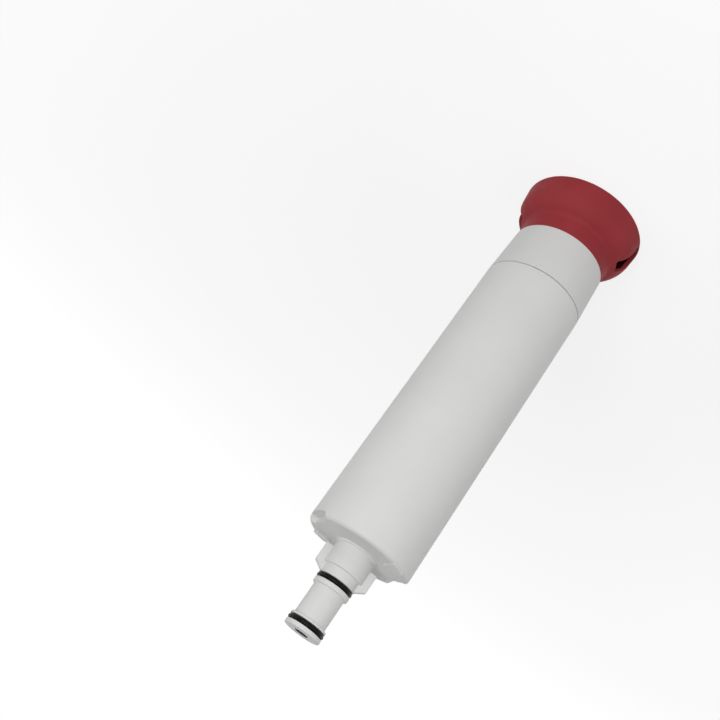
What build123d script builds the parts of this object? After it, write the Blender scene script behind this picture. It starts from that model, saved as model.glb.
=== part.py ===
from build123d import *
import os

# Water purifier filter cartridge, standing on the rim of its turning cap with the nozzle up.
# Millimetres, +Z up, origin at the centre of the cap's rim on the table.

# Lengths along the axis
cap_height = 32.5
closure_length = 32.5
body_length = 182.0

# Housing body
body_diameter = 60.0
housing_wall = 2.6
end_wall = 5.0
end_edge_rounding = 2.4
seam_chamfer = 0.35

# Notches, and stop ramps with their slits, in the end of the body
notch_width = 22.0
notch_depth = 3.2
notch_reach = 6.0
notch_rounding = 2.6
notch_angle = -18.0
ramp_height = 1.6
ramp_inset = 12.3
ramp_edge_inset = 0.8
ramp_slope_inset = 1.8
ramp_start = 8.4
ramp_length = 9.5
ramp_angle = -110.4
slit_width = 1.0
slit_depth = 2.2

# Nozzle stages, from the body to the tip
collar_diameter = 22.8
collar_length = 13.5
collar_edge = 0.6
foot_step = 0.9
foot_height = 1.0
foot_rounding = 0.4
land_diameter = 20.4
land_rounding = 0.5
relief_depth = 0.3
relief_margin = 0.3
waist_diameter = 17.8
waist_length = 17.6
collar_land = 5.3
waist_land = 2.6
tip_ring_land = 1.3
tip_land = 2.3
outlet_bore = 6.4
mouth_step = 0.6
mouth_depth = 2.5
inner_tube_wall = 1.2
inlet_gap = 2.0
inlet_roof = 1.5
port_width = 3.4
port_height = 3.6
port_offset = 0.5
port_angle = -8.0
inner_tube_reach = 14.0

# Locking ears beside the collar, clear of the end wall
ear_span = 30.6
ear_thickness = 4.2
ear_gap = 4.7
ear_length = 10.1
ear_taper = 3.4

# Sealing rings
ring_proud = 0.15
ring_section = 2.4
groove_side_gap = 0.3
ring_seat_gap = 0.05

# Closure that shuts the open end of the housing
closure_taper = 1.5
closure_wall = 2.6
closure_floor = 5.0
tongue_length = 7.0
tongue_gap = 0.1
spigot_length = 10.2
spigot_shoulder = 2.5
spigot_wall = 2.6
spigot_floor_gap = 0.4
post_wall = 2.4
rib_count = 6
rib_thickness = 1.8
rib_height = 22.0

# Snap bead that holds the turning cap
bead_height = 0.5
bead_width = 1.6
bead_place = 5.0
bead_gap = 0.1

# Turning cap
cap_rim_diameter = 76.0
cap_knee_diameter = 73.0
cap_slope_height = 5.6
cap_neck_step = -0.3
cap_neck_length = 11.4
cap_wall = 2.6
cap_floor = 2.6
cap_fit_gap = 0.15
cap_neck_rounding = 4.0
cap_knee_rounding = 14.0
cap_inner_rounding = 2.4
cap_rim_rounding = 0.9
window_width = 10.6
window_rim = 1.6
window_top_gap = 0.65
window_rounding = 1.2
window_angle = 13.0

# Filter element
block_length = 137.0
flow_gap = 2.7
block_bore = 12.0
wrap_thickness = 2.0
layer_gap = 0.05
element_cap_wall = 1.6
element_cap_floor = 3.0
element_skirt = 8.0
pin_diameter = 12.0
pin_length = 12.0
pin_gap = 0.2
chimney_wall = 4.0
tube_gap = 0.1
crown_height = 4.0
crown_slot = 3.6
crown_slots = 4
seal_section = 1.8
seal_land = 0.4

# How far a cutter runs past a face, and how deep an added feature is rooted in its wall
cut_margin = 1.0
root_depth = 1.0

# Levels worked out from the lengths
joint_z = cap_height
seam_z = joint_z + closure_length
end_z = seam_z + body_length
end_inside_z = end_z - end_wall
groove_width = ring_section + 2 * groove_side_gap
collar_z = end_z + collar_length
ear_foot_z = end_z + ear_gap
ear_shoulder_z = ear_foot_z + ear_length
ear_end_z = ear_shoulder_z + ear_taper
relief_end_z = ear_end_z + relief_margin
first_ring_z = collar_z + collar_land + groove_width / 2
waist_start_z = first_ring_z + groove_width / 2 + waist_land
waist_end_z = waist_start_z + waist_length
second_ring_z = waist_end_z + tip_ring_land + groove_width / 2
tip_z = second_ring_z + groove_width / 2 + tip_land
block_top_z = end_inside_z - inner_tube_reach
block_bottom_z = block_top_z - block_length
post_top_z = block_bottom_z - element_cap_floor
gland_width = seal_section + 2 * groove_side_gap
seal_z = end_inside_z - crown_height - seal_land - gland_width / 2

# Radii worked out from the diameters
body_radius = body_diameter / 2
body_inside = body_radius - housing_wall
collar_radius = collar_diameter / 2
land_radius = land_diameter / 2
relief_radius = land_radius - relief_depth
waist_radius = waist_diameter / 2
bore_radius = outlet_bore / 2
tube_radius = bore_radius + inner_tube_wall
inlet_radius = tube_radius + inlet_gap
ring_circle = land_radius + ring_proud - ring_section / 2
groove_floor = ring_circle - ring_section / 2 - ring_seat_gap
closure_top = body_radius - closure_taper
spigot_radius = closure_top - spigot_shoulder
element_cap_radius = body_inside - flow_gap
wrap_radius = element_cap_radius - element_cap_wall - layer_gap
block_radius = wrap_radius - wrap_thickness - layer_gap


# Shared helpers
def turned(corners):
    """Revolves a closed outline of (radius, height, rounding) corners about the axis."""
    outline = make_face(Polyline(*[(r, z) for r, z, _ in corners], close=True))
    for r, z, rounding in corners:
        if rounding > 0:
            corner = outline.vertices().sort_by_distance((r, z, 0))[0]
            outline = fillet(corner, rounding)
    return revolve(Plane.XZ * outline, Axis.Z)


def tube(outer, inner, bottom, top):
    """A plain round sleeve between two heights."""
    return turned([(inner, bottom, 0), (outer, bottom, 0), (outer, top, 0), (inner, top, 0)])


def turned_to(angle, shape):
    """Turns a shape about the axis by an angle in degrees."""
    return Rot(0, 0, angle) * shape


def both_sides(shape, angle):
    """Two opposite copies of a shape, the first at the angle given."""
    return turned_to(angle, shape) + turned_to(angle + 180, shape)


def inset_corner(before, corner, after, wall):
    """The corner of an outline moved inwards so that both its sides keep the wall's thickness."""
    first = (Vector(*corner) - Vector(*before)).normalized()
    second = (Vector(*after) - Vector(*corner)).normalized()
    first_inward = Vector(-first.Y, first.X)
    second_inward = Vector(-second.Y, second.X)
    halfway = first_inward + second_inward
    moved = Vector(*corner) + halfway * (wall / (1 + first_inward.dot(second_inward)))
    return moved.X, moved.Y


# Housing: body tube, end wall and nozzle in one moulding
def make_housing():
    chamfer = seam_chamfer
    outline = [
        (0, tip_z, 0),
        (0, end_inside_z, 0),
        (body_inside, end_inside_z, housing_wall / 2),
        (body_inside, seam_z, 0),
        (body_radius - chamfer, seam_z, 0),
        (body_radius, seam_z + chamfer, 0),
        (body_radius, end_z, end_edge_rounding),
        (collar_radius + foot_step, end_z, 0),
        (collar_radius + foot_step, end_z + foot_height, foot_rounding),
        (collar_radius, end_z + foot_height, 0),
        (collar_radius, collar_z, collar_edge),
        (relief_radius, collar_z, 0),
        (relief_radius, relief_end_z, 0),
        (land_radius, relief_end_z, 0),
        (land_radius, waist_start_z, land_rounding),
        (waist_radius, waist_start_z, 0),
        (waist_radius, waist_end_z, 0),
        (land_radius, waist_end_z, land_rounding),
        (land_radius, tip_z, land_rounding),
    ]
    housing = turned(outline)
    housing += both_sides(make_ear(), 0)
    housing += both_sides(make_ramp(), ramp_angle)
    for ring_z in (first_ring_z, second_ring_z):
        groove_bottom = ring_z - groove_width / 2
        housing -= tube(land_radius + cut_margin, groove_floor, groove_bottom, groove_bottom + groove_width)
    housing += tube(tube_radius, 0, end_inside_z - inner_tube_reach, end_inside_z)
    housing -= tube(bore_radius, 0, end_inside_z - inner_tube_reach, tip_z)
    housing -= tube(bore_radius + mouth_step, 0, tip_z - mouth_depth, tip_z)
    port_top = waist_start_z + port_offset + port_height
    housing -= tube(inlet_radius, tube_radius, end_inside_z, port_top + inlet_roof)
    housing -= both_sides(make_port(), port_angle)
    housing -= both_sides(make_notch(), notch_angle)
    housing -= both_sides(make_slit(), ramp_angle)
    return housing


def make_ear():
    """A locking ear that stands off the collar, clear of the end wall, and tapers into the relieved land."""
    reach = ear_span / 2
    root = relief_radius - root_depth
    outline = Polyline(
        (root, ear_foot_z),
        (reach, ear_foot_z),
        (reach, ear_shoulder_z),
        (relief_radius, ear_end_z),
        (root, ear_end_z),
        close=True,
    )
    return extrude(Plane.XZ * make_face(outline), ear_thickness / 2, both=True)


def make_ramp():
    """A stop ramp that rises from the rim of the end wall to a straight ridge."""
    ridge = body_radius - ramp_inset
    outline = Polyline(
        (ridge, end_z - root_depth),
        (body_radius, end_z - root_depth),
        (body_radius - ramp_slope_inset, end_z),
        (ridge, end_z + ramp_height),
        close=True,
    )
    wedge = Pos(0, -ramp_start, 0) * extrude(Plane.XZ * make_face(outline), ramp_length)
    return wedge & tube(body_radius - ramp_edge_inset, 0, end_z - root_depth, end_z + ramp_height)


def make_port():
    """A round-ended opening from the waist into the inlet passage."""
    middle = waist_start_z + port_offset + port_height / 2
    flat = Plane.YZ * SlotOverall(port_height, port_width, rotation=90)
    return Pos(tube_radius + inlet_gap / 2, 0, middle) * extrude(flat, waist_radius)


def make_notch():
    """A rounded arch cut into the outer edge of the end wall."""
    flat = Plane.YZ * RectangleRounded(notch_width, 2 * notch_depth, notch_rounding)
    return Pos(body_radius - notch_reach, 0, end_z) * extrude(flat, 2 * notch_reach)


def make_slit():
    """A narrow straight slit in the end wall behind a ramp's ridge."""
    ridge = body_radius - ramp_inset
    flat = Box(slit_width, ramp_length, slit_depth + cut_margin, align=(Align.MAX, Align.MAX, Align.MIN))
    return Pos(ridge, -ramp_start, end_z - slit_depth) * flat


# Sealing rings on the nozzle
def make_ring(height):
    return Pos(0, 0, height) * Torus(ring_circle, ring_section / 2)


# Closure with its tongue, spigot, post and ribs
def make_closure():
    inside = closure_top - closure_wall
    floor_z = joint_z + closure_floor
    tongue_outer = body_inside - tongue_gap
    tongue_inner = tongue_outer - closure_wall
    spigot_end = joint_z - spigot_length
    bead_z = joint_z - bead_place
    chamfer = seam_chamfer
    outline = [
        (0, floor_z, 0),
        (0, joint_z, 0),
        (spigot_radius - spigot_wall, joint_z, 0),
        (spigot_radius - spigot_wall, spigot_end, 0),
        (spigot_radius, spigot_end, 0),
        (spigot_radius, bead_z - bead_width / 2, 0),
        (spigot_radius + bead_height, bead_z, 0),
        (spigot_radius, bead_z + bead_width / 2, 0),
        (spigot_radius, joint_z, 0),
        (closure_top - chamfer, joint_z, 0),
        (closure_top, joint_z + chamfer, 0),
        (body_radius, seam_z - chamfer, 0),
        (body_radius - chamfer, seam_z, 0),
        (tongue_outer, seam_z, 0),
        (tongue_outer, seam_z + tongue_length, 0),
        (tongue_inner, seam_z + tongue_length, 0),
        (tongue_inner, seam_z, 0),
        (inside, floor_z, closure_wall / 2),
    ]
    closure = turned(outline)
    post_inner = pin_diameter / 2 + pin_gap
    post_outer = post_inner + post_wall
    closure += tube(post_outer, post_inner, floor_z - root_depth, post_top_z)
    rib_reach = inside - post_inner - post_wall / 2
    rib = Box(rib_reach, rib_thickness, rib_height, align=(Align.MIN, Align.CENTER, Align.MIN))
    for number in range(rib_count):
        place = Pos(post_inner + post_wall / 2, 0, floor_z - root_depth) * rib
        closure += turned_to(number * 360 / rib_count, place)
    return closure


# Turning cap: a flared thin-walled bell with two finger windows
def make_cap():
    rim = cap_rim_diameter / 2
    knee = cap_knee_diameter / 2
    neck = closure_top + cap_neck_step
    neck_z = joint_z - cap_neck_length
    knee_z = neck_z - cap_slope_height
    socket = spigot_radius + cap_fit_gap
    socket_z = joint_z - spigot_length - spigot_floor_gap
    floor_z = socket_z - cap_floor
    bead_z = joint_z - bead_place
    groove_half = bead_width / 2 + bead_gap
    groove = socket + bead_height + bead_gap
    chamfer = seam_chamfer
    inner_knee = inset_corner((rim, 0), (knee, knee_z), (neck, neck_z), cap_wall)
    slope_run = (neck - knee) / cap_slope_height
    inner_floor = inner_knee[0] + slope_run * (floor_z - inner_knee[1])
    inner_rim = rim - cap_wall
    outline = [
        (0, socket_z, 0),
        (0, floor_z, 0),
        (inner_floor, floor_z, cap_wall / 2),
        (inner_knee[0], inner_knee[1], cap_inner_rounding),
        (inner_rim, 0, 0),
        (rim, 0, cap_rim_rounding),
        (knee, knee_z, cap_knee_rounding),
        (neck, neck_z, cap_neck_rounding),
        (neck, joint_z - chamfer, 0),
        (neck - chamfer, joint_z, 0),
        (socket, joint_z, 0),
        (socket, bead_z + groove_half, 0),
        (groove, bead_z, 0),
        (socket, bead_z - groove_half, 0),
        (socket, socket_z, 0),
    ]
    cap = turned(outline)
    window_height = floor_z - window_rim - window_top_gap
    flat = Plane.YZ * RectangleRounded(window_width, window_height, window_rounding)
    window = Pos(inner_floor - cap_wall, 0, window_rim + window_height / 2) * extrude(flat, rim)
    return cap - both_sides(window, window_angle)


# Filter element: carbon block, fleece wrap and two bonded end caps
def make_block():
    return tube(block_radius, block_bore / 2, block_bottom_z, block_top_z)


def make_wrap():
    return tube(wrap_radius, wrap_radius - wrap_thickness, block_bottom_z, block_top_z)


def make_closed_end_cap():
    outer = element_cap_radius
    inner = outer - element_cap_wall
    pin = pin_diameter / 2
    outline = [
        (0, block_bottom_z, 0),
        (0, post_top_z - pin_length, 0),
        (pin, post_top_z - pin_length, element_cap_wall / 2),
        (pin, post_top_z, 0),
        (outer, post_top_z, element_cap_wall / 2),
        (outer, block_bottom_z + element_skirt, 0),
        (inner, block_bottom_z + element_skirt, 0),
        (inner, block_bottom_z, 0),
    ]
    return turned(outline)


def make_outlet_end_cap():
    outer = element_cap_radius
    inner = outer - element_cap_wall
    hole = tube_radius + tube_gap
    chimney = hole + chimney_wall
    deck_z = block_top_z + element_cap_floor
    gland = tube_radius + seal_section + ring_seat_gap
    outline = [
        (hole, block_top_z, 0),
        (inner, block_top_z, 0),
        (inner, block_top_z - element_skirt, 0),
        (outer, block_top_z - element_skirt, 0),
        (outer, deck_z, element_cap_wall / 2),
        (chimney, deck_z, 0),
        (chimney, end_inside_z, 0),
        (hole, end_inside_z, 0),
    ]
    cap = turned(outline)
    cap -= tube(gland, 0, seal_z - gland_width / 2, seal_z + gland_width / 2)
    slot = Box(2 * chimney + cut_margin, crown_slot, crown_height)
    for number in range(crown_slots // 2):
        cap -= turned_to(number * 360 / crown_slots, Pos(0, 0, end_inside_z - crown_height / 2) * slot)
    return cap


def make_outlet_seal():
    return Pos(0, 0, seal_z) * Torus(tube_radius + seal_section / 2 + ring_seat_gap / 2, seal_section / 2)


pieces = {
    "housing": make_housing(),
    "end_closure": make_closure(),
    "turning_cap": make_cap(),
    "upper_o_ring": make_ring(second_ring_z),
    "lower_o_ring": make_ring(first_ring_z),
    "carbon_block": make_block(),
    "sediment_wrap": make_wrap(),
    "closed_end_cap": make_closed_end_cap(),
    "outlet_end_cap": make_outlet_end_cap(),
    "outlet_seal": make_outlet_seal(),
}

os.makedirs("parts", exist_ok=True)
for name, shape in pieces.items():
    export_step(shape, f"parts/{name}.step")
    print(name, round(shape.volume), "mm3")
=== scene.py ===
# %% [markdown]
# A water purifier's filter cartridge, dressed for its portrait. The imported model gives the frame: every
# piece made here lies in that frame, in metres, so nothing is fitted by eye. The cartridge stands on the
# rim of its turning cap with the nozzle up, and the camera is rolled to show it lying at an angle.

# %% Frame
import math

import bmesh
import bpy
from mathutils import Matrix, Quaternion, Vector


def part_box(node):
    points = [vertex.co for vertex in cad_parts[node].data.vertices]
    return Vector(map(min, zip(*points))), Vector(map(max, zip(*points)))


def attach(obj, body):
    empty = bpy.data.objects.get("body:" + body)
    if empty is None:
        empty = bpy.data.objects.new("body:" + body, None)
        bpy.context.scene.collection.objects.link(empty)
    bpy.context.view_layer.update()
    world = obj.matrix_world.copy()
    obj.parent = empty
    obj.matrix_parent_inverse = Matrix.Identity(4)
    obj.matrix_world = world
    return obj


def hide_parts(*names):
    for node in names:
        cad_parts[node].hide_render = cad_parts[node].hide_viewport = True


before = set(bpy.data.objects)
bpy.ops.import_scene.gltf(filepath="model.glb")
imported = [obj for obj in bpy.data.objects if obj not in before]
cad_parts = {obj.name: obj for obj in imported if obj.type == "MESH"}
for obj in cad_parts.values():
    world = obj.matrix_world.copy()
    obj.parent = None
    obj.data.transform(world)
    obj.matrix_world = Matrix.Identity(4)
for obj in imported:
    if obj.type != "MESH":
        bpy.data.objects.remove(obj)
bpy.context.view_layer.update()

MM = 0.001
print("nodes", sorted(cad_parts))

# %% [markdown]
# Heights and radii that the solids already hold are read from the frame, so that a changed part carries
# its dress with it. The sizes that a bounding box can't tell, such as walls and small steps, are named
# in millimetres where they are first needed, as on the maker's drawing.

# %% Measures taken from the frame


def span(node):
    """Lowest height, highest height and outer radius of a node, in millimetres."""
    low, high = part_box(node)
    return low.z / MM, high.z / MM, high.x / MM


seam_z, tip_z, body_radius = span("housing")
spigot_end_z, post_top_z, _ = span("end_closure")
_, joint_z, _ = span("turning_cap")
_, end_inside_z, _ = span("outlet_end_cap")
tip_ring = span("upper_o_ring")
collar_ring = span("lower_o_ring")
inner_seal = span("outlet_seal")
print("joint, seam and tip", [round(z, 2) for z in (joint_z, seam_z, tip_z)], "radius", round(body_radius, 2))

# %% [markdown]
# Finishes come first, because the geometry below hands them to what it makes. Shaders and geometry are
# both node trees, and two helpers build them: one adds a node, the other adds a step of arithmetic.

# %% Helpers for node trees


def add(tree, kind, settings=None, **inputs):
    """A node whose inputs, called by name or by i and a number, are linked to sockets or set to values."""
    node = tree.nodes.new(kind)
    for key, value in (settings or {}).items():
        setattr(node, key, value)
    for key, value in inputs.items():
        by_number = key[0] == "i" and key[1:].isdigit()
        socket = node.inputs[int(key[1:])] if by_number else node.inputs[key.replace("_", " ")]
        if isinstance(value, bpy.types.NodeSocket):
            tree.links.new(value, socket)
        else:
            socket.default_value = value
    return node


def maths(tree, operation, first, second=0.0):
    """The result socket of one arithmetic step."""
    return add(tree, "ShaderNodeMath", {"operation": operation}, i0=first, i1=second).outputs[0]


print("node helpers", add.__name__, "and", maths.__name__)

# %% [markdown]
# Every finish is made of noise on Object coordinates, so its pattern stays with the piece, at the size that
# it has on the real surface. A noise seldom leaves the middle of its range, so that middle is stretched
# before it drives a colour or a roughness.

# %% Helpers for finishes
NOISE_MIDDLE = (0.3, 0.7)


def start_material(name, roughness, specular):
    """A node material with its shader and its Object coordinates."""
    material = bpy.data.materials.new(name)
    material.use_nodes = True
    tree = material.node_tree
    shader = tree.nodes["Principled BSDF"]
    shader.inputs["Roughness"].default_value = roughness
    shader.inputs["Specular IOR Level"].default_value = specular
    place = tree.nodes.new("ShaderNodeTexCoord").outputs["Object"]
    return material, tree, shader, place


def noise(tree, place, scale, detail=3.0, stretch=(1, 1, 1)):
    """The grey socket of a noise texture with so many features per metre."""
    mapping = add(tree, "ShaderNodeMapping", i0=place, Scale=stretch)
    texture = add(tree, "ShaderNodeTexNoise", Vector=mapping.outputs[0], Scale=scale, Detail=detail)
    return texture.outputs["Fac"]


def tint(tree, shader, factor, first, second):
    """Blends two colours by a noise into the shader's base colour."""
    ramp = tree.nodes.new("ShaderNodeValToRGB")
    for element, position, colour in zip(ramp.color_ramp.elements, NOISE_MIDDLE, (first, second)):
        element.position = position
        element.color = (*colour, 1)
    tree.links.new(factor, ramp.inputs[0])
    tree.links.new(ramp.outputs[0], shader.inputs["Base Color"])


def roughen(tree, shader, factor, low, high):
    """Lets a noise vary the shader's roughness between two values."""
    ends = {"From_Min": NOISE_MIDDLE[0], "From_Max": NOISE_MIDDLE[1], "To_Min": low, "To_Max": high}
    spread = add(tree, "ShaderNodeMapRange", Value=factor, **ends)
    tree.links.new(spread.outputs[0], shader.inputs["Roughness"])


def emboss(tree, shader, height, depth, strength):
    """Bump from a grey socket, with its depth in millimetres."""
    bump = add(tree, "ShaderNodeBump", Strength=strength, Distance=depth * MM, Height=height)
    tree.links.new(bump.outputs[0], shader.inputs["Normal"])


print("finish helpers", [helper.__name__ for helper in (noise, tint, roughen, emboss)])

# %% [markdown]
# Injection-moulded polypropylene is satin. Its colour is even with a trace of cloudiness, it has faint flow
# streaks along the mould and a very fine spark-eroded grain.

# %% Moulded plastics
WHITE = ((0.77, 0.77, 0.76), (0.80, 0.80, 0.79))
CLOSURE_WHITE = ((0.75, 0.75, 0.74), (0.78, 0.78, 0.77))
BURGUNDY = ((0.32, 0.038, 0.045), (0.38, 0.05, 0.057))
NATURAL = ((0.67, 0.69, 0.69), (0.73, 0.75, 0.75))
CLOUDS_PER_METRE = 28.0
STREAKS_PER_METRE = 160.0
STREAK_STRETCH = (1, 1, 0.08)
GRAINS_PER_METRE = 2600.0
GRAIN_DEPTH = 0.01
ROUGHNESS_SPREAD = 0.05


def moulded(name, colours, roughness, specular, grain):
    """Satin moulded plastic: cloudiness, flow streaks along the axis and fine grain."""
    material, tree, shader, place = start_material(name, roughness, specular)
    tint(tree, shader, noise(tree, place, CLOUDS_PER_METRE), *colours)
    streaks = noise(tree, place, STREAKS_PER_METRE, detail=2.0, stretch=STREAK_STRETCH)
    roughen(tree, shader, streaks, roughness - ROUGHNESS_SPREAD, roughness + ROUGHNESS_SPREAD)
    emboss(tree, shader, noise(tree, place, GRAINS_PER_METRE, detail=2.0), GRAIN_DEPTH, grain)
    return material


white_plastic = moulded("white polypropylene", WHITE, roughness=0.46, specular=0.25, grain=0.05)
closure_plastic = moulded("closure polypropylene", CLOSURE_WHITE, roughness=0.46, specular=0.25, grain=0.05)
burgundy_plastic = moulded("burgundy polypropylene", BURGUNDY, roughness=0.5, specular=0.06, grain=0.1)
element_plastic = moulded("element cap plastic", NATURAL, roughness=0.50, specular=0.25, grain=0.10)
plastics = (white_plastic, closure_plastic, burgundy_plastic, element_plastic)
print("plastics", [plastic.name for plastic in plastics])

# %% [markdown]
# The sealing rings are black rubber with a film of grease, so they are dark with one narrow highlight. The
# block inside is sintered carbon, coarse and dull. Its wrap is non-woven fleece, whose fibres cross.

# %% Rubber, carbon and fleece


def ring_rubber():
    material, tree, shader, place = start_material("ring rubber", roughness=0.3, specular=0.10)
    mottling = noise(tree, place, scale=400.0)
    tint(tree, shader, mottling, first=(0.003, 0.003, 0.003), second=(0.007, 0.007, 0.008))
    roughen(tree, shader, noise(tree, place, scale=900.0), low=0.24, high=0.36)
    emboss(tree, shader, noise(tree, place, scale=3000.0), depth=0.01, strength=0.2)
    return material


def pressed_carbon():
    material, tree, shader, place = start_material("pressed carbon", roughness=0.8, specular=0.3)
    grains = add(tree, "ShaderNodeTexVoronoi", Vector=place, Scale=1100.0).outputs["Distance"]
    mottling = noise(tree, place, scale=1500.0)
    tint(tree, shader, mottling, first=(0.012, 0.012, 0.013), second=(0.05, 0.05, 0.053))
    roughen(tree, shader, noise(tree, place, scale=1900.0), low=0.55, high=0.95)
    emboss(tree, shader, grains, depth=0.25, strength=0.6)
    return material


def sediment_fleece():
    material, tree, shader, place = start_material("sediment fleece", roughness=0.9, specular=0.2)
    along = noise(tree, place, scale=900.0, detail=4.0, stretch=(1, 1, 0.15))
    across = noise(tree, place, scale=900.0, detail=4.0, stretch=(0.2, 0.2, 1))
    fibres = maths(tree, "MAXIMUM", along, across)
    tint(tree, shader, fibres, first=(0.70, 0.70, 0.68), second=(0.86, 0.86, 0.84))
    roughen(tree, shader, fibres, low=0.8, high=1.0)
    emboss(tree, shader, fibres, depth=0.2, strength=0.5)
    return material


rubber = ring_rubber()
carbon = pressed_carbon()
fleece = sediment_fleece()
print("finishes", rubber.name, "|", carbon.name, "|", fleece.name)

# %% [markdown]
# Almost every piece of a cartridge is turned or moulded round one axis. A profile is a list of corners,
# each with its own rounding. A helper bends every rounded corner into a short arc and sets a support point
# a little way along each straight run. The support points keep the long flat stretches flat in the
# shading, because smooth normals then turn only within the small arcs.

# %% Rounded profiles
SUPPORT = 0.35
LARGE_ROUNDING = 3
LARGE_STEPS = 16
SMALL_STEPS = 6


def rounded(corners, closed):
    """Profile points from (radius, height, rounding) corners, with arcs and support points."""
    count = len(corners)
    points = []
    for number, (radius, height, rounding) in enumerate(corners):
        corner = Vector((radius, height))
        if not closed and number in (0, count - 1):
            points.append(corner)
            continue
        before = Vector(corners[number - 1][:2]) - corner
        after = Vector(corners[(number + 1) % count][:2]) - corner
        back, ahead = before.normalized(), after.normalized()
        half = back.angle(ahead) / 2
        reach = rounding / math.tan(half)
        if before.length > 2 * (reach + SUPPORT):
            points.append(corner + back * (reach + SUPPORT))
        if rounding == 0:
            points.append(corner)
        else:
            points.extend(arc(corner, back, ahead, half, rounding))
        if after.length > 2 * (reach + SUPPORT):
            points.append(corner + ahead * (reach + SUPPORT))
    if closed:
        points.append(points[0].copy())
    return points


def arc(corner, back, ahead, half, rounding):
    """Points of the arc that rounds a corner, more of them on a large one."""
    steps = LARGE_STEPS if rounding > LARGE_ROUNDING else SMALL_STEPS
    centre = corner + (back + ahead).normalized() * (rounding / math.sin(half))
    reach = rounding / math.tan(half)
    first = corner + back * reach - centre
    last = corner + ahead * reach - centre
    sweep = -first.angle_signed(last)
    for step in range(steps + 1):
        cosine, sine = math.cos(sweep * step / steps), math.sin(sweep * step / steps)
        yield centre + Vector((first.x * cosine - first.y * sine, first.x * sine + first.y * cosine))


print("a rounded corner gives", len(rounded([(0, 0, 0), (5, 0, 1), (5, 5, 0)], False)), "points")

# %% [markdown]
# Geometry Nodes make what follows a rule. Each tree starts from named inputs and ends alike: instances are
# made real and the finish is set.

# %% Start and end of a geometry tree


def start_tree(name, sizes):
    """A geometry node tree with named inputs, and its input and output nodes."""
    tree = bpy.data.node_groups.new(name, "GeometryNodeTree")
    tree.interface.new_socket("Geometry", in_out="INPUT", socket_type="NodeSocketGeometry")
    for label, kind in sizes:
        tree.interface.new_socket(label, in_out="INPUT", socket_type="NodeSocket" + kind)
    tree.interface.new_socket("Geometry", in_out="OUTPUT", socket_type="NodeSocketGeometry")
    return tree, tree.nodes.new("NodeGroupInput"), tree.nodes.new("NodeGroupOutput")


def end_tree(tree, given, result, geometry):
    """Makes the instances real, sets the finish and closes the tree."""
    real = add(tree, "GeometryNodeRealizeInstances", i0=geometry)
    finish = add(tree, "GeometryNodeSetMaterial", Geometry=real.outputs[0], Material=given.outputs["Finish"])
    tree.links.new(finish.outputs[0], result.inputs[0])


print("tree helpers", start_tree.__name__, "and", end_tree.__name__)

# %% [markdown]
# A turned body is a flat grid wrapped round the axis. One side of the grid counts the turn, the other side
# walks along the profile, and each grid point takes its radius and height from the profile point of the
# same number. Merging by distance then closes the seam and the poles.

# %% Tree that turns a profile round the axis
MERGE_METRES = 2e-6


def turning_tree():
    tree, given, result = start_tree("turned about the axis", [("Steps", "Int"), ("Finish", "Material")])
    profile = given.outputs["Geometry"]
    size = add(tree, "GeometryNodeAttributeDomainSize", {"component": "MESH"}, Geometry=profile)
    count = size.outputs["Point Count"]
    rows = maths(tree, "ADD", given.outputs["Steps"], 1)
    grid = add(tree, "GeometryNodeMeshGrid", Vertices_X=rows, Vertices_Y=count)
    index = tree.nodes.new("GeometryNodeInputIndex").outputs[0]
    # Half a point keeps the division clear of whole numbers.
    row = maths(tree, "FLOOR", maths(tree, "DIVIDE", maths(tree, "ADD", index, 0.5), count))
    place = maths(tree, "SUBTRACT", index, maths(tree, "MULTIPLY", row, count))
    taken = add(tree, "GeometryNodeSampleIndex", {"data_type": "FLOAT_VECTOR"}, Geometry=profile, Index=place)
    tree.links.new(tree.nodes.new("GeometryNodeInputPosition").outputs[0], taken.inputs["Value"])
    parts = add(tree, "ShaderNodeSeparateXYZ", i0=taken.outputs[0])
    angle = maths(tree, "DIVIDE", maths(tree, "MULTIPLY", row, math.tau), given.outputs["Steps"])
    along_x = maths(tree, "MULTIPLY", parts.outputs["X"], maths(tree, "COSINE", angle))
    along_y = maths(tree, "MULTIPLY", parts.outputs["X"], maths(tree, "SINE", angle))
    wrapped = add(tree, "ShaderNodeCombineXYZ", X=along_x, Y=along_y, Z=parts.outputs["Z"]).outputs[0]
    moved = add(tree, "GeometryNodeSetPosition", Geometry=grid.outputs["Mesh"], Position=wrapped)
    merged = add(tree, "GeometryNodeMergeByDistance", Geometry=moved.outputs[0], Distance=MERGE_METRES)
    smooth = add(tree, "GeometryNodeSetShadeSmooth", Geometry=merged.outputs[0])
    end_tree(tree, given, result, smooth.outputs[0])
    return tree


TURNED = turning_tree()
print("node tree", TURNED.name, "with", len(TURNED.nodes), "nodes")

# %% [markdown]
# Ears, ports, notches, ramps, ribs and windows come in sets round the axis. Each is drawn once, and this
# tree sets its copies at equal angles, so that they can't differ from each other.

# %% Tree that sets copies round the axis


def copies_tree():
    sizes = [("Count", "Int"), ("First Angle", "Float"), ("Finish", "Material")]
    tree, given, result = start_tree("copies round the axis", sizes)
    points = add(tree, "GeometryNodePoints", Count=given.outputs["Count"])
    index = tree.nodes.new("GeometryNodeInputIndex").outputs[0]
    step = maths(tree, "DIVIDE", maths(tree, "MULTIPLY", index, math.tau), given.outputs["Count"])
    angle = maths(tree, "ADD", step, given.outputs["First Angle"])
    euler = add(tree, "ShaderNodeCombineXYZ", Z=angle).outputs[0]
    turn = add(tree, "FunctionNodeEulerToRotation", i0=euler).outputs[0]
    base = given.outputs["Geometry"]
    copies = add(tree, "GeometryNodeInstanceOnPoints", Points=points.outputs[0], Instance=base, Rotation=turn)
    end_tree(tree, given, result, copies.outputs[0])
    return tree


COPIES = copies_tree()
print("node tree", COPIES.name, "with", len(COPIES.nodes), "nodes")

# %% [markdown]
# The next helpers run a tree on an object and keep its result as a plain mesh, so that no modifier is left
# on a piece.

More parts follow.
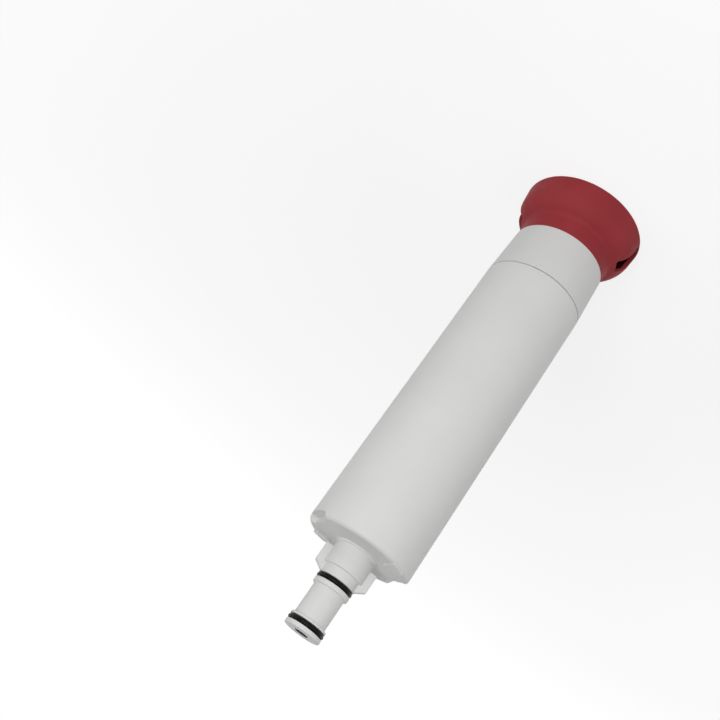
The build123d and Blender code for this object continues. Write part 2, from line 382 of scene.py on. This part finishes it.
# %% Helpers that run the trees
TURN_STEPS = 192
PAIR = 2


def new_object(name, points=(), faces=()):
    """A mesh object at the origin, from points in millimetres."""
    mesh = bpy.data.meshes.new(name)
    mesh.from_pydata([Vector(p) * MM for p in points], (), faces)
    piece = bpy.data.objects.new(name, mesh)
    bpy.context.scene.collection.objects.link(piece)
    return piece


def settle(piece):
    """Turns what the modifiers make into the piece's own plain mesh."""
    depsgraph = bpy.context.evaluated_depsgraph_get()
    mesh = bpy.data.meshes.new_from_object(piece.evaluated_get(depsgraph), depsgraph=depsgraph)
    piece.modifiers.clear()
    piece.data = mesh
    return piece


def grow(piece, tree, **values):
    """Runs a node tree on a piece, its inputs set by their identifiers, and keeps the result."""
    modifier = piece.modifiers.new(tree.name, "NODES")
    modifier.node_group = tree
    for item in tree.interface.items_tree:
        key = item.name.replace(" ", "_")
        if item.in_out == "INPUT" and key in values:
            modifier[item.identifier] = values[key]
    return settle(piece)


def turned(name, corners, closed, finish, steps=TURN_STEPS):
    """A turned body from its corners."""
    points = [(p.x, 0, p.y) for p in rounded(corners, closed)]
    return grow(new_object(name, points), TURNED, Steps=steps, Finish=finish)


def set_round(piece, count, degrees, finish):
    """Copies of a piece at equal angles round the axis, the first at an angle from +X."""
    return grow(piece, COPIES, Count=count, First_Angle=math.radians(degrees), Finish=finish)


print("turned bodies have", TURN_STEPS, "steps round the axis unless told otherwise")

# %% [markdown]
# Booleans suit a moulding, where ears grow out of the wall and openings are cut clean through it. A small
# bevel takes off the sharp edges of what is added.

# %% Helpers that join, cut and finish
BEVEL_ABOVE = math.radians(30.0)
SHARP_ABOVE = math.radians(40.0)


def join_or_cut(piece, other, operation):
    """Adds or removes another closed shape, which is used up."""
    modifier = piece.modifiers.new(operation, "BOOLEAN")
    modifier.operation = operation
    modifier.solver = "EXACT"
    modifier.object = other
    settle(piece)
    bpy.data.objects.remove(other)


def soften(piece, width, segments):
    """Rounds the sharp edges of a small shape."""
    bevel = piece.modifiers.new("soft edges", "BEVEL")
    bevel.width = width * MM
    bevel.segments = segments
    bevel.angle_limit = BEVEL_ABOVE
    return settle(piece)


def finish_edges(piece):
    """Smooth faces, with edges kept sharp where the surface really turns."""
    piece.data.shade_smooth()
    piece.data.set_sharp_from_angle(angle=SHARP_ABOVE)
    print(piece.name, len(piece.data.polygons), "faces")


print("piece helpers", join_or_cut.__name__, soften.__name__, finish_edges.__name__)

# %% [markdown]
# The housing is one moulding: a long tube with a closed end and a stepped nozzle. First come its sizes as on
# a drawing, then the radii and levels that follow from them.

# %% Sizes of the housing
fine = 0.25
housing_wall = 2.6
end_wall = 5.0
foot_step, foot_height = 0.9, 1.0
collar_radius, collar_length = 11.4, 13.5
land_radius, first_land, second_land = 10.2, 2.6, 1.3
relief_depth, relief_margin = 0.3, 0.3
waist_radius = 8.9
bore_radius, mouth_step, mouth_depth = 3.2, 0.6, 2.5
tube_radius, tube_reach = 4.4, 14.0
inlet_radius, inlet_rise = 6.4, 5.6
ring_gap, groove_play = 0.05, 0.6
ear_gap, ear_straight, ear_slope = 4.7, 10.1, 3.4
print("housing wall", housing_wall, "collar", collar_radius, "land", land_radius, "waist", waist_radius)

# %% [markdown]
# The nozzle's grooves take their width and depth from the rings, and its waist lies between them. The land
# beside the ears is a trace lower than the rest.

# %% Levels and radii of the nozzle
inside_radius = body_radius - housing_wall
end_z = end_inside_z + end_wall
foot_radius = collar_radius + foot_step
foot_z = end_z + foot_height
collar_z = end_z + collar_length
relief_radius = land_radius - relief_depth
mouth_radius = bore_radius + mouth_step
mouth_floor_z = tip_z - mouth_depth
ring_section = tip_ring[1] - tip_ring[0]
groove_floor = tip_ring[2] - ring_section - ring_gap
groove_width = ring_section + groove_play
first_groove_z = (collar_ring[0] + collar_ring[1] - groove_width) / 2
first_groove_end_z = first_groove_z + groove_width
second_groove_z = (tip_ring[0] + tip_ring[1] - groove_width) / 2
second_groove_end_z = second_groove_z + groove_width
waist_start_z = first_groove_end_z + first_land
waist_end_z = second_groove_z - second_land
inlet_top_z = waist_start_z + inlet_rise
inner_tube_end_z = end_inside_z - tube_reach
ear_foot_z = end_z + ear_gap
ear_shoulder_z = ear_foot_z + ear_straight
ear_end_z = ear_shoulder_z + ear_slope
relief_end_z = ear_end_z + relief_margin
stages = (collar_z, first_groove_z, waist_start_z, waist_end_z, tip_z)
print("nozzle stages above the end wall", [round(z - end_z, 2) for z in stages])

# %% [markdown]
# The housing's whole section, inside and out, is one closed profile. The inside keeps the two water ways of
# the real one: the outlet tube in the middle and the inlet passage round it.

# %% Housing turned from its section
housing_corners = [  # radius, height, rounding
    (inside_radius, seam_z, 0),
    (body_radius, seam_z, 0.2),
    (body_radius, end_z, 2.4),
    (foot_radius, end_z, 0.15),
    (foot_radius, foot_z, 0.4),
    (collar_radius, foot_z, 0.2),
    (collar_radius, collar_z, 0.6),
    (relief_radius, collar_z, fine),
    (relief_radius, relief_end_z, 0),
    (land_radius, relief_end_z, 0.1),
    (land_radius, first_groove_z, 0.1),
    (groove_floor, first_groove_z, fine),
    (groove_floor, first_groove_end_z, fine),
    (land_radius, first_groove_end_z, fine),
    (land_radius, waist_start_z, 0.5),
    (waist_radius, waist_start_z, 0.4),
    (waist_radius, waist_end_z, fine),
    (land_radius, waist_end_z, 0.5),
    (land_radius, second_groove_z, fine),
    (groove_floor, second_groove_z, fine),
    (groove_floor, second_groove_end_z, fine),
    (land_radius, second_groove_end_z, fine),
    (land_radius, tip_z, 0.5),
    (mouth_radius, tip_z, 0.1),
    (mouth_radius, mouth_floor_z, 0),
    (bore_radius, mouth_floor_z, fine),
    (bore_radius, inner_tube_end_z, fine),
    (tube_radius, inner_tube_end_z, fine),
    (tube_radius, inlet_top_z, fine),
    (inlet_radius, inlet_top_z, fine),
    (inlet_radius, end_inside_z, fine),
    (inside_radius, end_inside_z, 1.3),
]
housing = turned("housing_shell", housing_corners, True, white_plastic)
print("housing turned with", len(housing.data.polygons), "faces")

# %% [markdown]
# The outlet bore is narrow and deep, so hardly any light comes back from its wall. That shade is painted: the
# housing's finish is near black nearer to the axis than the bore's mouth. No other face of the housing lies
# there.

# %% Painted shade on the wall of the bore
BORE_PAINTED_SHADE = (0.08, 0.08, 0.08)
shade_margin = 0.05


def paint_bore_shade(material, radius, colour):
    """Paints shade as another base colour within a radius round the axis, in millimetres."""
    tree = material.node_tree
    base = tree.nodes["Principled BSDF"].inputs["Base Color"]
    outside = base.links[0].from_socket
    place = tree.nodes["Texture Coordinate"].outputs["Object"]
    flat = add(tree, "ShaderNodeVectorMath", {"operation": "MULTIPLY"}, i0=place, i1=(1, 1, 0)).outputs[0]
    away = add(tree, "ShaderNodeVectorMath", {"operation": "LENGTH"}, i0=flat).outputs["Value"]
    beyond = maths(tree, "GREATER_THAN", away, radius * MM)
    # A colour mix has its two colours at inputs 6 and 7 and its result at output 2.
    mix = add(tree, "ShaderNodeMix", {"data_type": "RGBA"}, i0=beyond, i6=(*colour, 1), i7=outside)
    tree.links.new(mix.outputs[2], base)


# Painted shade: the bore's wall is coloured near black in place of the shade deep inside it.
paint_bore_shade(white_plastic, mouth_radius + shade_margin, BORE_PAINTED_SHADE)
print("bore dark within", round(mouth_radius + shade_margin, 2), "mm of the axis")

# %% [markdown]
# What stands on the housing or is cut from it is simple: an outline pushed along one direction, or a few
# sections joined in a row.

# %% Prisms


def closed_shape(name, points, faces):
    """A closed shape with its faces turned outwards."""
    piece = new_object(name, points, faces)
    work = bmesh.new()
    work.from_mesh(piece.data)
    bmesh.ops.recalc_face_normals(work, faces=work.faces)
    work.to_mesh(piece.data)
    work.free()
    return piece


def loft(name, sections):
    """A closed shape through sections that have equally many points."""
    count = len(sections[0])
    points = [point for section in sections for point in section]
    last = len(points) - count
    faces = [tuple(range(count)), tuple(range(last, last + count))]
    for start in range(0, last, count):
        for number in range(count):
            after = (number + 1) % count
            faces.append((start + number, start + after, start + count + after, start + count + number))
    return closed_shape(name, points, faces)


def plate(name, outline, half):
    """A (radius, height) outline as an upright plate on +X, so thick to each side."""
    return loft(name, [[(radius, side, level) for radius, level in outline] for side in (-half, half)])


def rounded_box(width, height, rounding, steps=6):
    """Outline of a rectangle with round corners, about its middle."""
    outline = []
    for number, (side, level) in enumerate(((1, 1), (-1, 1), (-1, -1), (1, -1))):
        for step in range(steps + 1):
            angle = (number + step / steps) * math.pi / 2
            across = side * (width / 2 - rounding) + rounding * math.cos(angle)
            up = level * (height / 2 - rounding) + rounding * math.sin(angle)
            outline.append((across, up))
    return outline


def radial_cutter(name, outline, level, inner, outer):
    """An outline standing at a height and pushed outwards between two radii."""
    return loft(name, [[(radius, across, level + up) for across, up in outline] for radius in (inner, outer)])


print("an outline has", len(rounded_box(2, 2, 0.5)), "points")

# %% [markdown]
# Two locking ears stand off the collar, clear of the end wall. They hook into the filter head when the
# cartridge is turned. Their slope leads them into the head's slots.

# %% Locking ears
ear_reach = 15.3
ear_half = 2.1
ear_sink = 1.0
ear_rounding = 0.35
ear_root = relief_radius - ear_sink
ear_outline = [
    (ear_root, ear_foot_z),
    (ear_reach, ear_foot_z),
    (ear_reach, ear_shoulder_z),
    (relief_radius, ear_end_z),
    (ear_root, ear_end_z),
]
ears = plate("ears", ear_outline, ear_half)
soften(ears, ear_rounding, segments=3)
set_round(ears, PAIR, 0.0, white_plastic)
join_or_cut(housing, ears, "UNION")
print("ears reach", ear_reach, "mm from the axis")

# %% [markdown]
# Near the ears the end wall rises in two stop ramps, each from the outer edge to a straight ridge. Sections
# side by side follow the round edge.

# %% Stop ramps
ramp_ridge = body_radius - 12.3
ramp_height = 1.6
ramp_edge = body_radius - 0.8
ramp_foot = body_radius - 1.8
ramp_start, ramp_length = 8.4, 9.5
ramp_degrees = -110.4
ramp_sink = 1.0
ramp_rounding = 0.25
ramp_steps = 12
ramp_sections = []
for step in range(ramp_steps + 1):
    along = -(ramp_start + ramp_length * step / ramp_steps)
    outer = math.sqrt(ramp_edge**2 - along**2)
    outer_z = end_z + ramp_height * (ramp_foot - outer) / (ramp_foot - ramp_ridge)
    ramp_sections.append([
        (ramp_ridge, along, end_z - ramp_sink),
        (outer, along, end_z - ramp_sink),
        (outer, along, outer_z),
        (ramp_ridge, along, end_z + ramp_height),
    ])
ramps = loft("ramps", ramp_sections)
soften(ramps, ramp_rounding, segments=2)
set_round(ramps, PAIR, ramp_degrees, white_plastic)
join_or_cut(housing, ramps, "UNION")
print("ramps rise", ramp_height, "mm")

# %% [markdown]
# What is cut comes after what is joined. Behind each ridge a straight slit goes down into the end wall.

# %% Slits behind the ridges
slit_width, slit_depth, slit_rise = 1.0, 2.2, 1.0
slit_end = ramp_start + ramp_length
slit_corners = [
    (ramp_ridge - slit_width, -ramp_start),
    (ramp_ridge, -ramp_start),
    (ramp_ridge, -slit_end),
    (ramp_ridge - slit_width, -slit_end),
]
slit_levels = (end_z - slit_depth, end_z + slit_rise)
slits = loft("slits", [[(x, y, level) for x, y in slit_corners] for level in slit_levels])
set_round(slits, PAIR, ramp_degrees, white_plastic)
join_or_cut(housing, slits, "DIFFERENCE")
print("slits", slit_width, "mm wide and", slit_depth, "mm deep")

# %% [markdown]
# Two broad notches break the end's outer edge. Two ports in the waist let the water into the inlet passage.

# %% Notches and ports
notch_width, notch_height, notch_rounding, notch_reach = 22.0, 6.4, 2.6, 6.0
notch_degrees = -18.0
notch_outline = rounded_box(notch_width, notch_height, notch_rounding)
notches = radial_cutter("notches", notch_outline, end_z, body_radius - notch_reach, body_radius + notch_reach)
set_round(notches, PAIR, notch_degrees, white_plastic)
join_or_cut(housing, notches, "DIFFERENCE")

port_width, port_height, port_rounding = 3.4, 3.6, 1.69
port_degrees = -8.0
port_z = waist_start_z + 2.3
port_inner, port_outer = tube_radius + 1.0, 14.0
port_outline = rounded_box(port_width, port_height, port_rounding)
ports = radial_cutter("ports", port_outline, port_z, port_inner, port_outer)
set_round(ports, PAIR, port_degrees, white_plastic)
join_or_cut(housing, ports, "DIFFERENCE")
finish_edges(housing)

# %% [markdown]
# The closure is welded on the open end of the housing. Its skirt tapers a little towards the cap, and a
# fine groove shows where the two meet. A tongue goes up into the housing, a spigot goes down into the cap,
# and a post inside carries the filter element.

# %% Closure
closure_wall = 2.6
closure_end = body_radius - 1.5
closure_inside = closure_end - closure_wall
spigot_radius = closure_end - 2.5
tongue_radius = body_radius - housing_wall - 0.1
tongue_top_z = seam_z + 7.0
floor_z = joint_z + 5.0
bead_z = joint_z - 5.0
bead_half, bead_height = 0.8, 0.5
post_inner, post_outer = 6.2, 8.6
groove_radius = body_radius - 1.4
groove_low_z = seam_z - 0.75
closure_corners = [  # radius, height, rounding
    (0, joint_z, 0),
    (spigot_radius - closure_wall, joint_z, fine),
    (spigot_radius - closure_wall, spigot_end_z, fine),
    (spigot_radius, spigot_end_z, fine),
    (spigot_radius, bead_z - bead_half, 0),
    (spigot_radius + bead_height, bead_z, fine),
    (spigot_radius, bead_z + bead_half, 0),
    (spigot_radius, joint_z, fine),
    (closure_end, joint_z, 0.5),
    (body_radius, groove_low_z, 0.15),
    (groove_radius, groove_low_z, 0),
    (groove_radius, seam_z, 0),
    (tongue_radius, seam_z, 0),
    (tongue_radius, tongue_top_z, fine),
    (tongue_radius - closure_wall, tongue_top_z, fine),
    (tongue_radius - closure_wall, seam_z, 0),
    (closure_inside, floor_z, 1.3),
    (post_outer, floor_z, fine),
    (post_outer, post_top_z, fine),
    (post_inner, post_top_z, fine),
    (post_inner, floor_z, fine),
    (0, floor_z, 0),
]
closure = turned("closure_skirt", closure_corners, False, closure_plastic)
print("closure turned with", len(closure.data.polygons), "faces")

# %% [markdown]
# Ribs run from the foot of the post to the wall and stiffen the floor against the water's pressure.

# %% Ribs of the closure
rib_count = 6
rib_root, rib_half = 7.4, 0.9
rib_low_z, rib_high_z = floor_z - 1, floor_z + 21
rib_outline = [
    (rib_root, rib_low_z),
    (closure_inside, rib_low_z),
    (closure_inside, rib_high_z),
    (rib_root, rib_high_z),
]
ribs = plate("ribs", rib_outline, rib_half)
set_round(ribs, rib_count, 0.0, closure_plastic)
join_or_cut(closure, ribs, "UNION")
finish_edges(closure)

# %% [markdown]
# The turning cap is a thin-walled bell: a straight neck, a fold, a rounded flare and a flat rim. Its inside
# follows its outside at one wall's distance.

# %% Sizes of the cap
cap_wall = 2.6
rim_radius = 38.0
knee_radius = 36.5
neck_radius = closure_end - 0.3
neck_z = joint_z - 11.4
knee_z = neck_z - 5.6
socket_radius = spigot_radius + 0.15
socket_z = spigot_end_z - 0.4
dish_z = socket_z - cap_wall
catch_half, catch_depth = 0.9, 0.6


def inset_corner(before, corner, after, wall):
    """A corner moved inwards so that both its sides keep the wall's thickness."""
    first = (Vector(corner) - Vector(before)).normalized().orthogonal()
    second = (Vector(after) - Vector(corner)).normalized().orthogonal()
    return Vector(corner) + (first + second) * (wall / (1 + first.dot(second)))


inner_knee = inset_corner((rim_radius, 0), (knee_radius, knee_z), (neck_radius, neck_z), cap_wall)
slope_run = (neck_radius - knee_radius) / (neck_z - knee_z)
inner_floor = inner_knee.x + slope_run * (dish_z - inner_knee.y)
print("inner knee", [round(v, 2) for v in inner_knee], "inner floor", round(inner_floor, 2))

# %% [markdown]
# The cap's profile runs from the middle of the dish out to the rim, up the outside and down into the socket,
# where a groove catches the bead of the closure's spigot. More steps round the axis keep its wide rim round.

# %% Turning cap
CAP_STEPS = 256
cap_corners = [  # radius, height, rounding
    (0, dish_z, 0),
    (inner_floor, dish_z, 1.3),
    (inner_knee.x, inner_knee.y, 2.4),
    (rim_radius - cap_wall, 0, fine),
    (rim_radius, 0, 0.9),
    (knee_radius, knee_z, 14.0),
    (neck_radius, neck_z, 4.0),
    (neck_radius, joint_z, 0.35),
    (socket_radius, joint_z, fine),
    (socket_radius, bead_z + catch_half, 0),
    (socket_radius + catch_depth, bead_z, 0),
    (socket_radius, bead_z - catch_half, 0),
    (socket_radius, socket_z, fine),
    (0, socket_z, 0),
]
cap = turned("cap_bell", cap_corners, False, burgundy_plastic, CAP_STEPS)
print("cap turned with", len(cap.data.polygons), "faces")

# %% [markdown]
# Two windows go through the flare and give the fingers a hold. The rim stays whole below them.

# %% Windows of the cap
window_width, window_rounding = 10.6, 1.2
window_low = 1.6
window_high = dish_z - 0.65
window_outer = 60.0
window_degrees = 13.0
window_outline = rounded_box(window_width, window_high - window_low, window_rounding)
window_middle = (window_low + window_high) / 2
windows = radial_cutter("windows", window_outline, window_middle, inner_floor - cap_wall, window_outer)
set_round(windows, PAIR, window_degrees, burgundy_plastic)
join_or_cut(cap, windows, "DIFFERENCE")
finish_edges(cap)

# %% [markdown]
# A sealing ring is a round section swept along a circle, and that is how its tree makes it. Each ring takes
# its circle, section and height from its own solid.

# %% Sealing rings
RING_STEPS = 160
SECTION_STEPS = 32


def ring_tree():
    sizes = [("Radius", "Float"), ("Section", "Float"), ("Height", "Float"), ("Finish", "Material")]
    tree, given, result = start_tree("ring along a circle", sizes)
    circle = "GeometryNodeCurvePrimitiveCircle"
    path = add(tree, circle, Resolution=RING_STEPS, Radius=given.outputs["Radius"])
    section = add(tree, circle, Resolution=SECTION_STEPS, Radius=given.outputs["Section"])
    swept = add(tree, "GeometryNodeCurveToMesh", Curve=path.outputs[0], Profile_Curve=section.outputs[0])
    height = add(tree, "ShaderNodeCombineXYZ", Z=given.outputs["Height"]).outputs[0]
    raised = add(tree, "GeometryNodeTransform", Geometry=swept.outputs[0], Translation=height)
    smooth = add(tree, "GeometryNodeSetShadeSmooth", Geometry=raised.outputs[0])
    end_tree(tree, given, result, smooth.outputs[0])
    return tree


RING = ring_tree()


def sealing_ring(name, measures):
    """A ring with the lowest height, highest height and outer radius of its solid."""
    low, high, outer = measures
    section = (high - low) / 2
    sizes = {"Radius": (outer - section) * MM, "Section": section * MM, "Height": (low + high) / 2 * MM}
    return grow(new_object(name), RING, Finish=rubber, **sizes)


rings = {
    "upper_o_ring": sealing_ring("tip_ring", tip_ring),
    "lower_o_ring": sealing_ring("collar_ring", collar_ring),
    "outlet_seal": sealing_ring("inner_ring", inner_seal),
}
print("rings", {node: len(ring.data.polygons) for node, ring in rings.items()})

# %% [markdown]
# Every piece now rides on the cartridge and stands for its solid. The filter element inside keeps the
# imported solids, whose shapes are already right, with their own finishes.

# %% Dressing the cartridge


def dress(piece, node, finish):
    """One finish all over the piece, which then stands for its solid."""
    piece.data.materials.clear()
    piece.data.materials.append(finish)
    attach(piece, "root")
    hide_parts(node)


dress(housing, "housing", white_plastic)
dress(closure, "end_closure", closure_plastic)
dress(cap, "turning_cap", burgundy_plastic)
for node, ring in rings.items():
    dress(ring, node, rubber)

inside = {
    "carbon_block": carbon,
    "sediment_wrap": fleece,
    "closed_end_cap": element_plastic,
    "outlet_end_cap": element_plastic,
}
for node, finish in inside.items():
    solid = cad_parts[node]
    solid.data.materials.clear()
    solid.data.materials.append(finish)
dressed = (housing, closure, cap, *rings.values())
print("dressed", [piece.name for piece in dressed], "and the solids", list(inside))

# %% [markdown]
# The stage is a wide pale floor under the rim, so wide that its edge is lost in the backdrop.

# %% Floor
FLOOR_RADIUS = 6000.0
FLOOR_CORNERS = 96
turns = [math.tau * number / FLOOR_CORNERS for number in range(FLOOR_CORNERS)]
floor_points = [(FLOOR_RADIUS * math.cos(turn), FLOOR_RADIUS * math.sin(turn), 0) for turn in turns]
floor = new_object("floor", floor_points, [tuple(range(FLOOR_CORNERS))])
print("floor radius", FLOOR_RADIUS, "mm")

# %% [markdown]
# Part of what the camera sees of the floor is a white glow, stronger far away, so the floor runs into the
# white backdrop but keeps the cartridge's shadow. Under the cap the floor has no glow and is painted near
# black, as painted shade for the dark hollow that the windows show.

# %% Finish of the floor, with painted shade under the cap
GLOW_SHARE = 0.7
GLOW_NEAR, GLOW_FAR = (150, 1.12), (1500, 1.42)
PAINTED_SHADE_END, GLOW_START = 0.95, 0.98
FLOOR_GREY = (0.86, 0.86, 0.86, 1)
PAINTED_SHADE_GREY = (0.02, 0.02, 0.02, 1)


def looked_at(tree):
    """1 for rays of the camera, of reflections and through glass, 0 for the rest."""
    path = tree.nodes.new("ShaderNodeLightPath")
    seen = maths(tree, "MAXIMUM", path.outputs["Is Camera Ray"], path.outputs["Is Glossy Ray"])
    return maths(tree, "MAXIMUM", seen, path.outputs["Is Transmission Ray"])


def over_distance(tree, distance, near, far):
    """A value that changes between two (distance in millimetres, value) pairs."""
    ends = {"From_Min": near[0] * MM, "From_Max": far[0] * MM, "To_Min": near[1], "To_Max": far[1]}
    return add(tree, "ShaderNodeMapRange", Value=distance, **ends).outputs[0]


def pale_floor():
    material = bpy.data.materials.new("pale floor")
    material.use_nodes = True
    tree = material.node_tree
    tree.nodes.remove(tree.nodes["Principled BSDF"])
    place = tree.nodes.new("ShaderNodeTexCoord").outputs["Object"]
    distance = add(tree, "ShaderNodeVectorMath", {"operation": "LENGTH"}, i0=place).outputs["Value"]
    under_rim = (PAINTED_SHADE_END * rim_radius, 0.0), (GLOW_START * rim_radius, 1.0)
    beyond_rim = over_distance(tree, distance, *under_rim)
    matt = add(tree, "ShaderNodeBsdfDiffuse", Color=FLOOR_GREY)
    glow = add(tree, "ShaderNodeEmission", Strength=over_distance(tree, distance, GLOW_NEAR, GLOW_FAR))
    share = maths(tree, "MULTIPLY", looked_at(tree), GLOW_SHARE)
    open_floor = add(tree, "ShaderNodeMixShader", i0=share, i1=matt.outputs[0], i2=glow.outputs[0])
    # Painted shade: a near black floor under the cap stands in for the shade inside the hollow cap.
    painted_shade = add(tree, "ShaderNodeBsdfDiffuse", Color=PAINTED_SHADE_GREY)
    blend = add(tree, "ShaderNodeMixShader", i0=beyond_rim, i1=painted_shade.outputs[0], i2=open_floor.outputs[0])
    tree.links.new(blend.outputs[0], tree.nodes["Material Output"].inputs["Surface"])
    return material


floor.data.materials.append(pale_floor())
print("floor finish", floor.data.materials[0].name)

# %% [markdown]
# The world is white where the camera or a reflection looks, and a soft grey light for everything else.

# %% World
AMBIENT = 0.25
world = bpy.data.worlds.new("studio")
bpy.context.scene.world = world
world.use_nodes = True
tree = world.node_tree
strength = maths(tree, "ADD", maths(tree, "MULTIPLY", looked_at(tree), 1.0 - AMBIENT), AMBIENT)
backdrop = tree.nodes["Background"]
backdrop.inputs["Color"].default_value = (1, 1, 1, 1)
tree.links.new(strength, backdrop.inputs["Strength"])
bpy.context.scene.view_settings.view_transform = "Standard"
print("ambient light", AMBIENT)

# %% [markdown]
# Soft panels stand round the cartridge at one distance. Left and right are told as in the picture. Two keys,
# one high and one low, stand near the camera and a little to its left, so the brightest line runs along the
# front. A low fill stands to the right, a weak side light to the left, and a small edge light behind on the
# right brightens the ears and ramps there.

# %% Lights
LIGHT_DISTANCE = 620.0
LIGHT_SIZE = 420.0
LIGHT_AIM = Vector((0, 0, 190))


def panel(name, turn, height, watts):
    """A square soft light, so many degrees round from the front, at a height in millimetres."""
    angle = math.radians(-90 - turn)
    place = Vector((LIGHT_DISTANCE * math.cos(angle), LIGHT_DISTANCE * math.sin(angle), height))
    light = bpy.data.lights.new(name, "AREA")
    light.size = LIGHT_SIZE * MM
    light.energy = watts
    lamp = bpy.data.objects.new(name, light)
    lamp.location = place * MM
    lamp.rotation_euler = (LIGHT_AIM - place).to_track_quat("-Z", "Y").to_euler()
    bpy.context.scene.collection.objects.link(lamp)


panel("high key", turn=-14, height=650, watts=1.45)
panel("low key", turn=-14, height=330, watts=0.92)
panel("fill", turn=42, height=120, watts=0.56)
panel("side", turn=-85, height=300, watts=0.33)
panel("edge", turn=120, height=290, watts=0.35)

# %% [markdown]
# The camera stands before the cartridge, looks down on it and is rolled, so that the nozzle points to the
# lower left of the picture.

# %% Camera
CAMERA_PLACE = (0.0, -467.7, 361.2)
CAMERA_TURN = math.radians(7.08)
CAMERA_DOWN = math.radians(23.27)
CAMERA_ROLL = math.radians(142.75)
CAMERA_LENS = 46.5
CAMERA_SENSOR = 36.0

camera = bpy.data.cameras.new("camera")
camera.lens = CAMERA_LENS
camera.sensor_width = CAMERA_SENSOR
eye = bpy.data.objects.new("camera", camera)
level = math.cos(CAMERA_DOWN)
sight = Vector((math.sin(CAMERA_TURN) * level, math.cos(CAMERA_TURN) * level, -math.sin(CAMERA_DOWN)))
eye.location = Vector(CAMERA_PLACE) * MM
eye.rotation_mode = "QUATERNION"
eye.rotation_quaternion = sight.to_track_quat("-Z", "Y") @ Quaternion((0, 0, 1), -CAMERA_ROLL)
bpy.context.scene.collection.objects.link(eye)
bpy.context.scene.camera = eye
print("camera looks along", [round(v, 3) for v in sight])
